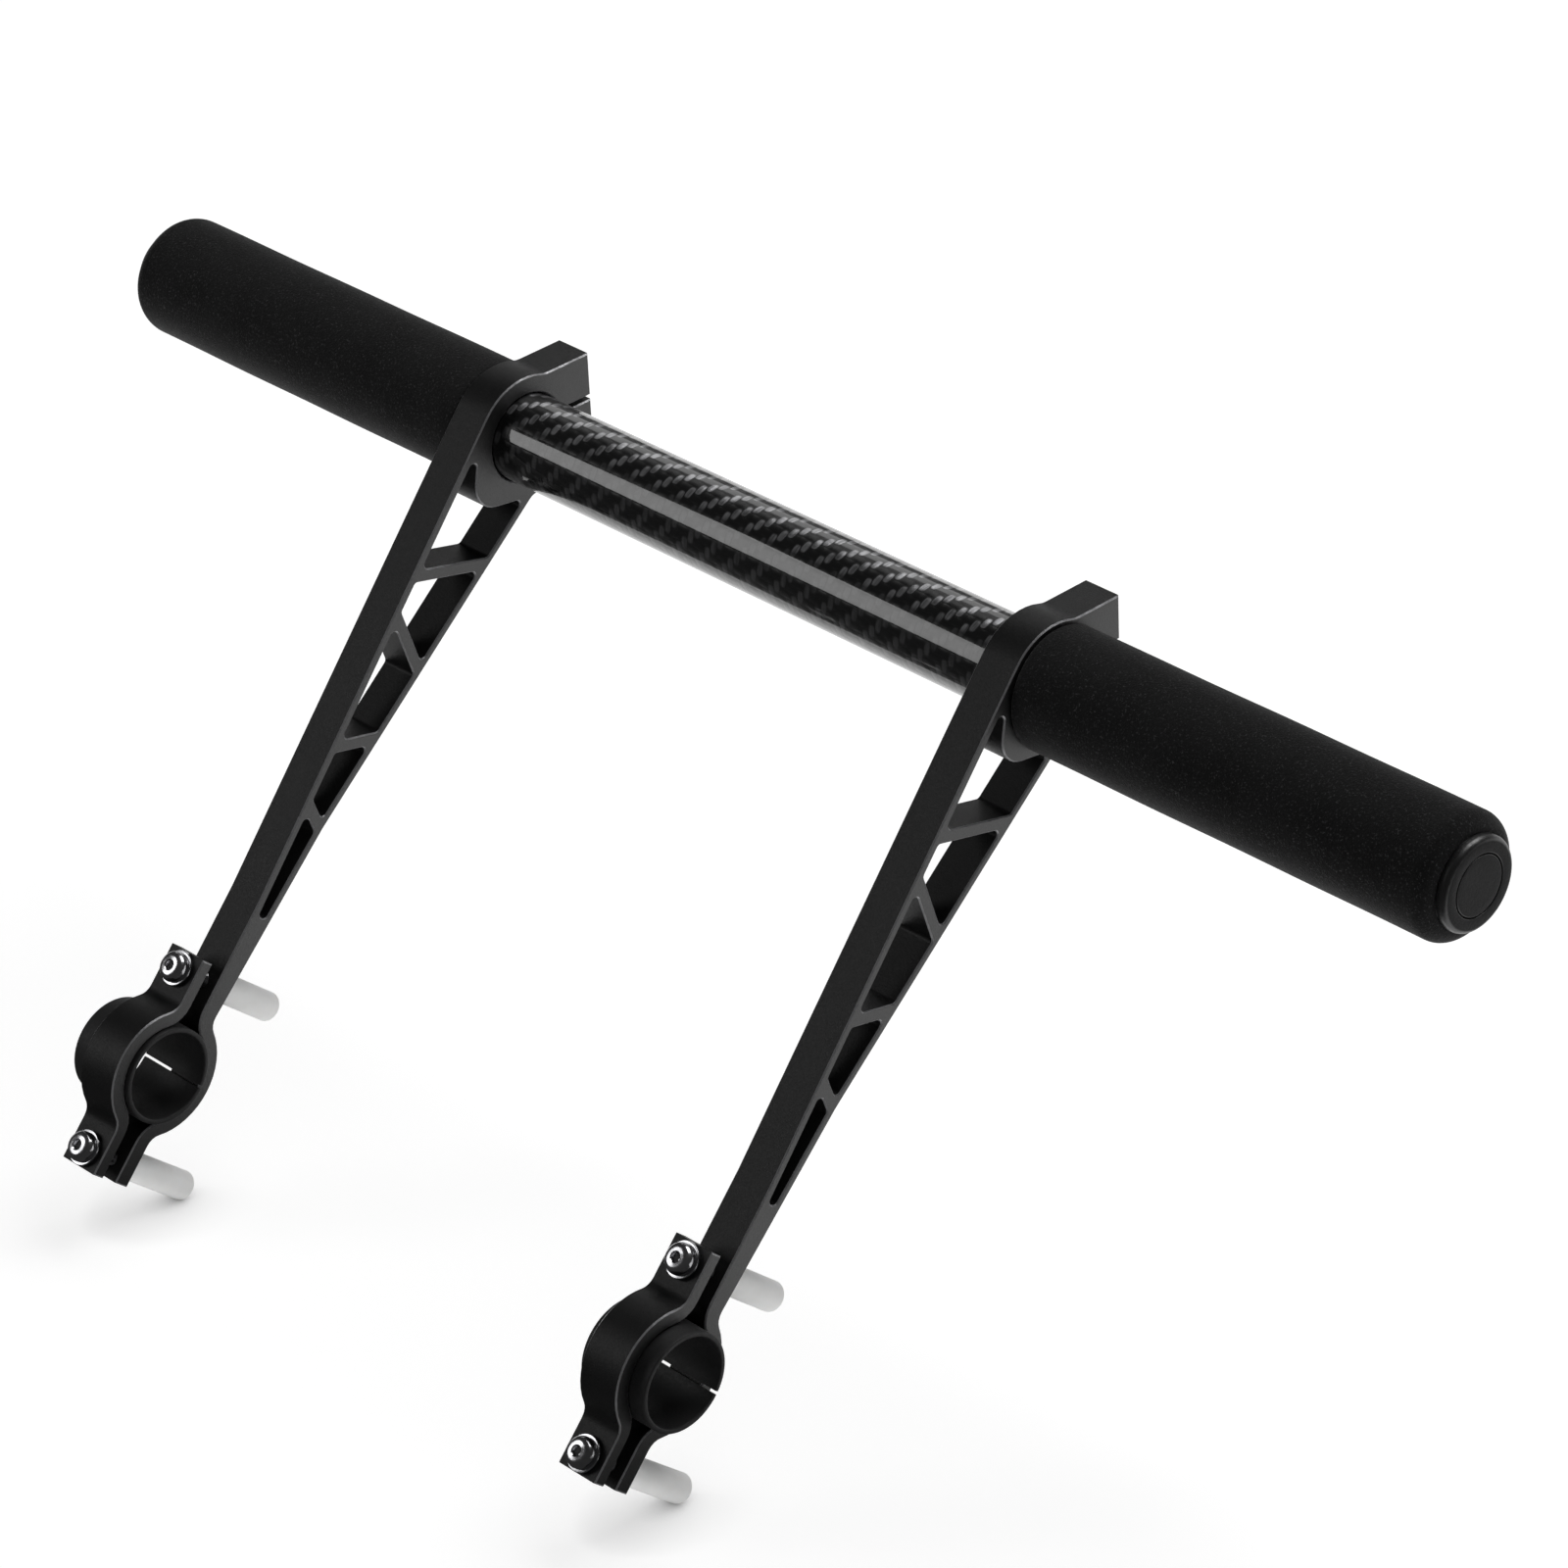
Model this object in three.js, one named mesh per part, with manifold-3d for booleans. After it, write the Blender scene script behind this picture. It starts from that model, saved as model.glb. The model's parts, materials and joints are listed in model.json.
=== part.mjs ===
// Clamp-on handlebar extender: a carbon cross tube with two foam grips, held out from a
// handlebar by two milled truss arms.  Millimetres.  X runs along the tube, +Y points away from
// the rider and +Z up.  The origin is on the handlebar's axis, midway between the arms.
//
// Each arm is drawn flat in its own frame: x of a Vector2 points to the arm's back and y runs up
// the arm, both measured from the handlebar's axis.  The whole object then leans by ARM_LEAN.

import * as THREE from 'three';
import { mergeVertices } from 'three/addons/utils/BufferGeometryUtils.js';
import Module from 'manifold-3d';

// ---- driving dimensions --------------------------------------------------------------------

const CLEARANCE = 0.3;          // between pieces that fit into or lie against each other
const ARM_LEAN = 36.4;          // degrees, from upright

const TUBE_DIAMETER = 22.2;
const TUBE_WALL = 1.6;
const GRIP_DIAMETER = 30.5;
const GRIP_LENGTH = 121;
const GRIP_SHOULDER = 0.88;     // rounding of the grip's outer end, as a share of the foam's wall

const ARM_SPACING = 176;        // between the middles of the two arms
const ARM_WIDTH = 10.7;         // along the tube
const CAP_WIDTH = 12;           // of the clamp caps, a little wider than the arms
const ARM_LENGTH = 174.2;       // handlebar's axis to the tube's axis, along the arm's front
const ARM_FRONT = 4.4;          // the arm's front face, behind the handlebar's axis
const EYE_WALL = 4.6;           // ring around the tube
const CHAMFER = 0.35;           // on every milled edge of the arms and caps

const EAR_ANGLE = 39.7;         // degrees, direction in which the eye's ears point
const EAR_REACH = 20.7;         // tube's axis to the ears' end
const EAR_UPPER = 14.6;         // top of the upper ear above the tube's axis
const EAR_LOWER = 8;            // underside of the lower ear below it
const EAR_BEND = 6;             // inside radius where the upper ear leaves the eye
const PINCH_SLIT = 1.2;
const PINCH_SLIT_HEIGHT = 2.8;  // middle of the slit above the tube's axis
const PINCH_BOLT_LENGTH = 18;
const PINCH_THREAD_END = 2;     // solid metal left over the blind thread

const FRONT_CHORD = 2.1;        // thickness of the truss's front and back strips
const BACK_CHORD = 1.9;
const WEB = 3.2;                // thickness of the slanting webs
const SHOULDER_ANGLE = -49;     // degrees, where the back strip meets the eye
const KNEE = { back: 13.8, height: 68.3 };
const FOOT = { back: 9.2, height: 26.6 };
// Middle lines of the webs where they meet the front and the back strip.
const WEBS = [
  { front: 133.1, back: 142.0 },
  { front: 121.6, back: 112.7 },
  { front: 88.1, back: 93.0 },
  { front: 72.1, back: 68.6 },
  { front: 41.5, back: 41.5 },
];
const WEBS_DRAWN_FOR = 174.2;   // the arm length at which WEBS, KNEE and FOOT hold
const WINDOW_CORNER = 1.2;

const HANDLEBAR_DIAMETER = 22.2;
const SHIM_WALL = 1.3;
const SHIM_SLIT = 0.8;
const SHIM_LENGTH = 20.5;
const SHIM_OUTSIDE = { left: 8.3, right: 5.2 };  // how far each stands out past its arm
const CLAMP_TILT = 2.8;         // degrees, the clamp's split from the arm's front
const CLAMP_WALL = 3.8;
const JAW_FACE = 2.1;           // split faces, from the handlebar's axis
const CAP_FACE = 3.1;
const JAW_EAR = 4.4;            // thickness of the ears
const CAP_EAR = 3.5;
const EAR_END = 28.6;           // handlebar's axis to the end of the ears
const BOLT_OFFSET = 24;         // handlebar's axis to each bolt's axis
const INNER_BEND = 7.5;         // radii where the ears leave the clamp's ring
const OUTER_BEND = 4;

const BOLT_DIAMETER = 4;
const BOLT_HEAD_DIAMETER = 7.6; // button heads
const BOLT_HEAD = 2.2;
const BOLT_CROWN_DIAMETER = 4.2;
const BOLT_BRIM = 0.35;         // upright rim under the dome
const SOCKET_FLATS = 2.5;
const SOCKET_DEPTH = 1.3;
const CLAMP_BOLT_LENGTH = 31;
const WASHER_DIAMETER = 9;
const WASHER = 0.9;
const THREAD_CAP_DIAMETER = 7.4;
const THREAD_CAP_LENGTH = { upper: 20, lower: 23.4 };
const THREAD_CAP_END = 3;       // solid nylon past the bolt's hole
const THREAD_CAP_ROUND = 1.1;

const PLUG_LIP = 0.2;           // how far the plug's collar stands out over the tube's wall
const PLUG_COLLAR = 2.8;        // how far the plug stands out of the grip
const PLUG_SPIGOT = 16;         // its length inside the tube
const PLUG_DISC_DIAMETER = 14.5;
const PLUG_DISC = 1.2;

// ---- materials -----------------------------------------------------------------------------

const finish = (color, roughness, metalness = 0) =>
  new THREE.MeshStandardMaterial({ color, roughness, metalness });
const CARBON = finish(0x0b0b0d, 0.12);
const FOAM = finish(0x141415, 0.95);
const ANODISED = finish(0x1b1b1d, 0.45, 0.6);
const RUBBER = finish(0x101011, 0.7);
const CHROME = finish(0xc8c9cb, 0.18, 1);
const NYLON = finish(0xe9e9e6, 0.45);
const PLASTIC = finish(0x17171a, 0.5);

// ---- flat outlines -------------------------------------------------------------------------

const CHORD_ERROR = 0.04;       // how far a round edge's straight steps may leave its true circle
const rad = THREE.MathUtils.degToRad;
const point = (x, y) => new THREE.Vector2(x, y);
const polar = (centre, radius, angle) =>
  point(centre.x + radius * Math.cos(angle), centre.y + radius * Math.sin(angle));
const angleTo = (from, to) => Math.atan2(to.y - from.y, to.x - from.x);
const AXIS = point(0, 0);

function arc(centre, radius, from, to) {
  const step = 2 * Math.acos(1 - CHORD_ERROR / radius);
  const steps = Math.max(2, Math.ceil(Math.abs(to - from) / step));
  const points = [];
  for (let i = 0; i <= steps; i++) points.push(polar(centre, radius, from + (to - from) * i / steps));
  return points;
}

function shortArc(centre, radius, from, to) {
  const turn = THREE.MathUtils.euclideanModulo(to - from + Math.PI, 2 * Math.PI) - Math.PI;
  return arc(centre, radius, from, from + turn);
}

// The bend between a ring and a straight edge: the edge passes through `start` and runs off
// along `along`, and the bend's own centre lies on the side `side` of it.
function bend(ringCentre, ringRadius, radius, start, along, side) {
  const base = start.clone().addScaledVector(side, radius).sub(ringCentre);
  const b = base.dot(along);
  const c = base.lengthSq() - (ringRadius + radius) ** 2;
  const centre = base.addScaledVector(along, -b + Math.sqrt(b * b - c)).add(ringCentre);
  return {
    ringAngle: angleTo(ringCentre, centre),
    fromEdge: shortArc(centre, radius, angleTo(side, AXIS), angleTo(centre, ringCentre)),
    fromRing: shortArc(centre, radius, angleTo(centre, ringCentre), angleTo(side, AXIS)),
  };
}

// A closed polygon whose corners are rounded; each corner is { at, radius }.
function rounded(corners) {
  return corners.flatMap(({ at, radius }, i) => {
    const before = corners.at(i - 1).at;
    const after = corners[(i + 1) % corners.length].at;
    const inward = before.clone().sub(at).normalize();
    const onward = after.clone().sub(at).normalize();
    const half = Math.acos(THREE.MathUtils.clamp(inward.dot(onward), -1, 1)) / 2;
    const room = 0.45 * Math.min(at.distanceTo(before), at.distanceTo(after));
    const reach = Math.min(radius / Math.tan(half), room);
    const r = reach * Math.tan(half);
    const bisector = inward.clone().add(onward).normalize();
    const centre = at.clone().addScaledVector(bisector, r / Math.sin(half));
    const first = at.clone().addScaledVector(inward, reach);
    const last = at.clone().addScaledVector(onward, reach);
    return shortArc(centre, r, angleTo(centre, first), angleTo(centre, last));
  });
}

function crossing(a, alongA, b, alongB) {
  const t = b.clone().sub(a).cross(alongB) / alongA.cross(alongB);
  return a.clone().addScaledVector(alongA, t);
}

// ---- the arm's driving points --------------------------------------------------------------

const TUBE_RADIUS = TUBE_DIAMETER / 2;
const EYE_BORE = TUBE_RADIUS + CLEARANCE;
const EYE_RADIUS = EYE_BORE + EYE_WALL;
const EYE = point(ARM_FRONT + EYE_RADIUS, ARM_LENGTH);
const SHIM_BORE = HANDLEBAR_DIAMETER / 2;
const SHIM_RADIUS = SHIM_BORE + SHIM_WALL;
const CLAMP_BORE = SHIM_RADIUS + CLEARANCE;
const CLAMP_RADIUS = CLAMP_BORE + CLAMP_WALL;

const TILT = rad(CLAMP_TILT);
const tilted = (x, y) => point(x, y).rotateAround(AXIS, -TILT);
const UP_SPLIT = tilted(0, 1);
const BACK_OF_SPLIT = tilted(1, 0);

// The ears' own frame: u runs out along them and n across them, from the tube's axis.
const EAR_TURN = rad(EAR_ANGLE);
const UP_EAR = EAR_TURN + Math.PI / 2;
const inEar = (u, n) => point(u, n).rotateAround(AXIS, EAR_TURN).add(EYE);

const STRETCH = ARM_LENGTH / WEBS_DRAWN_FOR;
const FRONT_INSIDE = ARM_FRONT + FRONT_CHORD;
const SHOULDER = polar(EYE, EYE_RADIUS, rad(SHOULDER_ANGLE));
const KNEE_POINT = point(KNEE.back, KNEE.height * STRETCH);
const FOOT_POINT = point(FOOT.back, FOOT.height * STRETCH);
const UP_BACK = SHOULDER.clone().sub(KNEE_POINT).normalize();
const UP_SHANK = KNEE_POINT.clone().sub(FOOT_POINT).normalize();
const sideOf = (along) => point(along.y, -along.x);

// Where a height on the back strip's inner edge lies.
function backInside(height) {
  const along = height > KNEE_POINT.y ? UP_BACK : UP_SHANK;
  const start = KNEE_POINT.clone().addScaledVector(sideOf(along), -BACK_CHORD);
  return crossing(start, along, point(0, height), point(1, 0));
}

// A web's middle line moved by half its thickness: up for the window above, down for the one below.
function webEdge(web, sense) {
  const front = point(FRONT_INSIDE, web.front * STRETCH);
  const along = backInside(web.back * STRETCH).sub(front).normalize();
  const start = front.addScaledVector(point(-along.y, along.x), sense * WEB / 2);
  return { start, along };
}

function corner(at, radius = WINDOW_CORNER) {
  return { at, radius };
}

const UPWARD = point(0, 1);
const atFront = (edge) => crossing(edge.start, edge.along, point(FRONT_INSIDE, 0), UPWARD);
function atBack(edge, height) {
  const along = height > KNEE_POINT.y ? UP_BACK : UP_SHANK;
  return crossing(edge.start, edge.along, backInside(height), along);
}

// Where a line running up from `start` first meets the eye's outer circle.
function meetsEye(start, along) {
  const base = start.clone().sub(EYE);
  const b = base.dot(along);
  const c = base.lengthSq() - EYE_RADIUS ** 2;
  return start.clone().addScaledVector(along, -b - Math.sqrt(b * b - c));
}

// The top window's upper edge follows the eye; its apex is where the eye's tangents cross.
function eyeWindow() {
  const floor = webEdge(WEBS[0], 1);
  const tangent = (at) => point(EYE.y - at.y, at.x - EYE.x).normalize();
  const topFront = meetsEye(point(FRONT_INSIDE, 0), UPWARD);
  const topBack = meetsEye(backInside(KNEE_POINT.y + 1), UP_BACK);
  const apex = crossing(topFront, tangent(topFront), topBack, tangent(topBack));
  return rounded([
    corner(atFront(floor)),
    corner(atBack(floor, WEBS[0].back * STRETCH)),
    corner(topBack),
    corner(apex, EYE_RADIUS),
    corner(topFront),
  ]);
}

function webWindow(above, below) {
  const ceiling = webEdge(above, -1);
  const floor = webEdge(below, 1);
  return rounded([
    corner(atFront(floor)),
    corner(atBack(floor, below.back * STRETCH)),
    corner(atBack(ceiling, above.back * STRETCH)),
    corner(atFront(ceiling)),
  ]);
}

// One edge of a clamp half above the axis, from the ear's end to the ring's middle.
function clampEdge(face, ringRadius, radius) {
  const turn = bend(AXIS, ringRadius, radius, point(face, 0), point(0, 1), point(1, 0));
  return [point(face, EAR_END), ...turn.fromEdge, ...arc(AXIS, ringRadius, turn.ringAngle, 0).slice(1)];
}

const mirrored = (points) => points.map((p) => point(p.x, -p.y)).reverse();
const withTilt = (points) => points.map((p) => tilted(p.x, p.y));

function armOutline() {
  const inner = clampEdge(JAW_FACE, CLAMP_BORE, INNER_BEND);
  const outer = clampEdge(JAW_FACE + JAW_EAR, CLAMP_RADIUS, OUTER_BEND);
  const faceTop = crossing(tilted(JAW_FACE, 0), UP_SPLIT, point(ARM_FRONT, 0), UPWARD);
  const waist = bend(AXIS, CLAMP_RADIUS, OUTER_BEND, FOOT_POINT, UP_SHANK, sideOf(UP_SHANK));
  const downBack = UP_BACK.clone().negate();
  const armpit = bend(EYE, EYE_RADIUS, OUTER_BEND, SHOULDER, downBack, sideOf(UP_BACK));

  const slitLow = PINCH_SLIT_HEIGHT - PINCH_SLIT / 2;
  const slitHigh = PINCH_SLIT_HEIGHT + PINCH_SLIT / 2;
  const earUnder = EAR_TURN - Math.asin(EAR_LOWER / EYE_RADIUS);
  const boreStart = EAR_TURN + Math.asin(slitLow / EYE_BORE);
  const boreEnd = EAR_TURN + Math.asin(slitHigh / EYE_BORE) - 2 * Math.PI;
  const along = point(1, 0).rotateAround(AXIS, EAR_TURN);
  const upward = point(0, 1).rotateAround(AXIS, EAR_TURN);
  const neck = bend(EYE, EYE_RADIUS, EAR_BEND, inEar(0, EAR_UPPER), along, upward);

  return [
    faceTop,
    ...withTilt([
      ...inner.slice(1), ...mirrored(inner).slice(1), ...mirrored(outer).reverse(),
    ]).slice(0, -1),
    ...arc(AXIS, CLAMP_RADIUS, -TILT, waist.ringAngle),
    ...waist.fromRing.slice(1),
    KNEE_POINT,
    ...armpit.fromEdge,
    ...arc(EYE, EYE_RADIUS, armpit.ringAngle, earUnder).slice(1),
    inEar(EAR_REACH, -EAR_LOWER),
    inEar(EAR_REACH, slitLow),
    ...arc(EYE, EYE_BORE, boreStart, boreEnd),
    inEar(EAR_REACH, slitHigh),
    inEar(EAR_REACH, EAR_UPPER),
    ...neck.fromEdge,
    ...arc(EYE, EYE_RADIUS, neck.ringAngle, Math.PI).slice(1),
  ];
}

function capOutline() {
  const inner = clampEdge(CAP_FACE, CLAMP_BORE, INNER_BEND);
  const outer = clampEdge(CAP_FACE + CAP_EAR, CLAMP_RADIUS, OUTER_BEND);
  const loop = [
    ...inner, ...mirrored(inner).slice(1),
    ...mirrored(outer).reverse(), ...outer.reverse().slice(1),
  ];
  return withTilt(loop.map((p) => point(-p.x, p.y)));
}

function shimOutline() {
  const outerSlit = Math.asin(SHIM_SLIT / 2 / SHIM_RADIUS);
  const innerSlit = Math.asin(SHIM_SLIT / 2 / SHIM_BORE);
  return [
    ...arc(AXIS, SHIM_RADIUS, outerSlit, 2 * Math.PI - outerSlit),
    ...arc(AXIS, SHIM_BORE, 2 * Math.PI - innerSlit, innerSlit),
  ];
}

// ---- solids --------------------------------------------------------------------------------

const wasm = await Module();
wasm.setup();

function toSolid(geometry) {
  const bare = geometry.clone();
  bare.deleteAttribute('normal');
  bare.deleteAttribute('uv');
  const merged = mergeVertices(bare, 1e-4);
  const mesh = new wasm.Mesh({
    numProp: 3,
    vertProperties: new Float32Array(merged.attributes.position.array),
    triVerts: new Uint32Array(merged.index.array),
  });
  return new wasm.Manifold(mesh);
}

function toGeometry(solid) {
  const mesh = solid.getMesh();
  const geometry = new THREE.BufferGeometry();
  geometry.setAttribute('position', new THREE.BufferAttribute(mesh.vertProperties, 3));
  geometry.setIndex(new THREE.BufferAttribute(mesh.triVerts, 1));
  geometry.computeVertexNormals();
  return geometry;
}

const drilled = (geometry, ...cutters) =>
  toGeometry(cutters.reduce((solid, cutter) => solid.subtract(toSolid(cutter)), toSolid(geometry)));

// A flat outline made into a plate across X, from x = start and `width` thick.
function plate(outline, holes, start, width, chamfer = 0) {
  const shape = new THREE.Shape(outline);
  shape.holes = holes.map((hole) => new THREE.Path(hole));
  const geometry = new THREE.ExtrudeGeometry(shape, {
    depth: width - 2 * chamfer,
    bevelEnabled: chamfer > 0,
    bevelThickness: chamfer,
    bevelSize: chamfer,
    bevelOffset: -chamfer,
    bevelSegments: 1,
  });
  geometry.translate(0, 0, start + chamfer);
  const across = new THREE.Matrix4().makeBasis(
    new THREE.Vector3(0, 1, 0), new THREE.Vector3(0, 0, 1), new THREE.Vector3(1, 0, 0));
  return geometry.applyMatrix4(across);
}

// A round piece about a line in the arm's own plane: its profile holds [radius, distance] pairs,
// the distance running from `start` along the direction `angle`.
function turned(profile, segments, x, start, angle) {
  const geometry = new THREE.LatheGeometry(profile.map(([r, d]) => new THREE.Vector2(r, d)), segments);
  return geometry.applyMatrix4(alongArm(x, start, angle));
}

function alongArm(x, start, angle) {
  return new THREE.Matrix4()
    .makeTranslation(x, start.x, start.y)
    .multiply(new THREE.Matrix4().makeRotationX(angle));
}

function turnedAlongX(profile, segments, x, sense) {
  const geometry = new THREE.LatheGeometry(profile.map(([r, d]) => new THREE.Vector2(r, d)), segments);
  geometry.rotateZ(-sense * Math.PI / 2);
  return geometry.translate(x, EYE.x, EYE.y);
}

const ROUND_SEGMENTS = 20;
const TUBE_SEGMENTS = 48;
const HOLE_RADIUS = BOLT_DIAMETER / 2 + CLEARANCE;

function rod(radius, length, x, start, angle) {
  const profile = [[0, 0], [radius, 0], [radius, length], [0, length]];
  return turned(profile, ROUND_SEGMENTS, x, start, angle);
}

// A button-head bolt: its head's top is at distance 0 and its shank runs on past the head.
function bolt(length, x, start, angle) {
  const head = BOLT_HEAD_DIAMETER / 2;
  const crown = BOLT_CROWN_DIAMETER / 2;
  const dome = BOLT_HEAD - BOLT_BRIM;
  const shank = BOLT_DIAMETER / 2;
  const edge = 0.4;
  const slope = arc(AXIS, 1, Math.PI / 2, 0)
    .map((p) => [crown + (head - crown) * p.x, dome * (1 - p.y)]);
  const profile = [
    [0, 0], ...slope, [head, BOLT_HEAD], [shank, BOLT_HEAD],
    [shank, BOLT_HEAD + length - edge], [shank - edge, BOLT_HEAD + length], [0, BOLT_HEAD + length],
  ];
  const socket = new THREE.CylinderGeometry(
    SOCKET_FLATS / Math.sqrt(3), SOCKET_FLATS / Math.sqrt(3), 2 * SOCKET_DEPTH, 6);
  return drilled(
    turned(profile, ROUND_SEGMENTS, x, start, angle),
    socket.applyMatrix4(alongArm(x, start, angle)),
  );
}

function washer(x, start, angle) {
  const outer = WASHER_DIAMETER / 2;
  const profile = [[HOLE_RADIUS, 0], [outer, 0], [outer, WASHER], [HOLE_RADIUS, WASHER], [HOLE_RADIUS, 0]];
  return turned(profile, ROUND_SEGMENTS, x, start, angle);
}

function threadCap(length, x, start, angle) {
  const outer = THREAD_CAP_DIAMETER / 2;
  const depth = length - THREAD_CAP_END;
  const profile = [
    [0, depth], [HOLE_RADIUS, depth], [HOLE_RADIUS, 0], [outer, 0],
    [outer, length - THREAD_CAP_ROUND], [outer - THREAD_CAP_ROUND, length], [0, length],
  ];
  return turned(profile, ROUND_SEGMENTS, x, start, angle);
}

// ---- where the fasteners lie, in the arm's plane -------------------------------------------

const BACKWARD = -TILT;         // direction of the clamp bolts, square to the split
const HEAD_TOP = -(CAP_FACE + CAP_EAR + 2 * CLEARANCE + WASHER + BOLT_HEAD);
const WASHER_TOP = HEAD_TOP + BOLT_HEAD + CLEARANCE;
const shankBack = crossing(
  FOOT_POINT, UP_SHANK, tilted(0, BOLT_OFFSET + THREAD_CAP_DIAMETER / 2), BACK_OF_SPLIT,
);
const SHANK_DEPTH = shankBack.clone().sub(tilted(0, 0)).dot(BACK_OF_SPLIT);
const CAP_SEAT = { upper: SHANK_DEPTH + CLEARANCE, lower: JAW_FACE + JAW_EAR + CLEARANCE };
const boltHeight = { upper: BOLT_OFFSET, lower: -BOLT_OFFSET };

const PINCH_REACH = (EYE_BORE + EAR_REACH) / 2;
const PINCH_HEAD_TOP = -(EAR_LOWER + CLEARANCE + BOLT_HEAD);

// ---- pieces --------------------------------------------------------------------------------

function armGeometry(x) {
  const windows = WEBS.slice(1).map((web, i) => webWindow(WEBS[i], web));
  const blank = plate(armOutline(), [eyeWindow(), ...windows], x - ARM_WIDTH / 2, ARM_WIDTH, CHAMFER);
  const holes = ['upper', 'lower'].map((place) => rod(
    HOLE_RADIUS, CLAMP_RADIUS + JAW_EAR, x, tilted(0, boltHeight[place]), BACKWARD));
  const pinchTop = EAR_UPPER - PINCH_THREAD_END;
  const pinch = rod(HOLE_RADIUS, EAR_LOWER + CLEARANCE + pinchTop, x,
    inEar(PINCH_REACH, -EAR_LOWER - CLEARANCE), UP_EAR);
  const spotFace = rod(BOLT_HEAD_DIAMETER / 2 + CLEARANCE, EYE_RADIUS - EAR_LOWER, x,
    inEar(PINCH_REACH, -EYE_RADIUS), UP_EAR);
  return drilled(blank, ...holes, pinch, spotFace);
}

function capGeometry(x) {
  const blank = plate(capOutline(), [], x - CAP_WIDTH / 2, CAP_WIDTH, CHAMFER);
  const holes = ['upper', 'lower'].map((place) => rod(
    HOLE_RADIUS, CLAMP_RADIUS, x, tilted(-CLAMP_RADIUS, boltHeight[place]), BACKWARD));
  return drilled(blank, ...holes);
}

function shimGeometry(x, outward, standsOut) {
  const middle = x + outward * (ARM_WIDTH / 2 + standsOut - SHIM_LENGTH / 2);
  return plate(shimOutline(), [], middle - SHIM_LENGTH / 2, SHIM_LENGTH);
}

const ARM_OUTSIDE = ARM_SPACING / 2 + ARM_WIDTH / 2;
const GRIP_START = ARM_OUTSIDE + CLEARANCE;
const GRIP_END = GRIP_START + GRIP_LENGTH;

function tubeGeometry() {
  const bore = TUBE_RADIUS - TUBE_WALL;
  const profile = [
    [bore, -GRIP_END], [TUBE_RADIUS, -GRIP_END],
    [TUBE_RADIUS, GRIP_END], [bore, GRIP_END],
    [bore, -GRIP_END],
  ];
  return turnedAlongX(profile, TUBE_SEGMENTS, 0, 1);
}

function gripGeometry(outward) {
  const outer = GRIP_DIAMETER / 2;
  const bore = TUBE_RADIUS + CLEARANCE;
  const shoulder = GRIP_SHOULDER * (outer - bore);
  const round = arc(point(outer - shoulder, GRIP_LENGTH - shoulder), shoulder, 0, Math.PI / 2)
    .map((p) => [p.x, p.y]);
  const profile = [[bore, 0], [outer, 0], ...round, [bore, GRIP_LENGTH], [bore, 0]];
  return turnedAlongX(profile, TUBE_SEGMENTS, outward * GRIP_START, outward);
}

// The plug's spigot fills the tube's end and its collar covers the tube's edge.
function plugGeometry(outward) {
  const spigot = TUBE_RADIUS - TUBE_WALL - CLEARANCE;
  const collar = TUBE_RADIUS + PLUG_LIP;
  const pocket = PLUG_DISC_DIAMETER / 2 + CLEARANCE;
  const floor = PLUG_COLLAR - PLUG_DISC;
  const edge = 0.8;
  const profile = [
    [0, -PLUG_SPIGOT], [spigot, -PLUG_SPIGOT], [spigot, CLEARANCE], [collar, CLEARANCE],
    [collar, PLUG_COLLAR - edge], [collar - edge, PLUG_COLLAR], [pocket, PLUG_COLLAR],
    [pocket, floor], [0, floor],
  ];
  return turnedAlongX(profile, TUBE_SEGMENTS, outward * GRIP_END, outward);
}

function discGeometry(outward) {
  const radius = PLUG_DISC_DIAMETER / 2;
  const start = PLUG_COLLAR - PLUG_DISC + CLEARANCE;
  const profile = [[0, start], [radius, start], [radius, PLUG_COLLAR], [0, PLUG_COLLAR]];
  return turnedAlongX(profile, TUBE_SEGMENTS, outward * GRIP_END, outward);
}

// ---- assembly ------------------------------------------------------------------------------

const extender = new THREE.Group();
extender.rotation.x = -rad(ARM_LEAN);

function add(name, geometry, material) {
  const mesh = new THREE.Mesh(geometry, material);
  mesh.name = name;
  extender.add(mesh);
}

add('carbon_tube', tubeGeometry(), CARBON);

for (const [side, outward] of [['left', -1], ['right', 1]]) {
  const x = outward * ARM_SPACING / 2;
  add(`${side}_grip`, gripGeometry(outward), FOAM);
  add(`${side}_end_plug`, plugGeometry(outward), PLASTIC);
  add(`${side}_plug_disc`, discGeometry(outward), PLASTIC);
  add(`${side}_arm`, armGeometry(x), ANODISED);
  add(`${side}_clamp_cap`, capGeometry(x), ANODISED);
  add(`${side}_shim`, shimGeometry(x, outward, SHIM_OUTSIDE[side]), RUBBER);
  for (const place of ['upper', 'lower']) {
    const height = boltHeight[place];
    add(`${side}_${place}_bolt`, bolt(CLAMP_BOLT_LENGTH, x, tilted(HEAD_TOP, height), BACKWARD), CHROME);
    add(`${side}_${place}_washer`, washer(x, tilted(WASHER_TOP, height), BACKWARD), CHROME);
    const seat = tilted(CAP_SEAT[place], height);
    add(`${side}_${place}_thread_cap`, threadCap(THREAD_CAP_LENGTH[place], x, seat, BACKWARD), NYLON);
  }
  const pinchStart = inEar(PINCH_REACH, PINCH_HEAD_TOP);
  add(`${side}_pinch_bolt`, bolt(PINCH_BOLT_LENGTH, x, pinchStart, UP_EAR), CHROME);
}

export default extender;
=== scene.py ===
"""Looks of the clamp-on handlebar extender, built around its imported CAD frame.  Metres.

The milled arms and clamp caps keep their CAD shapes and are dressed; every other piece is built
here over the CAD node it replaces.
"""
import json
import math

import bmesh
import bpy
from mathutils import Matrix, Vector


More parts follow.
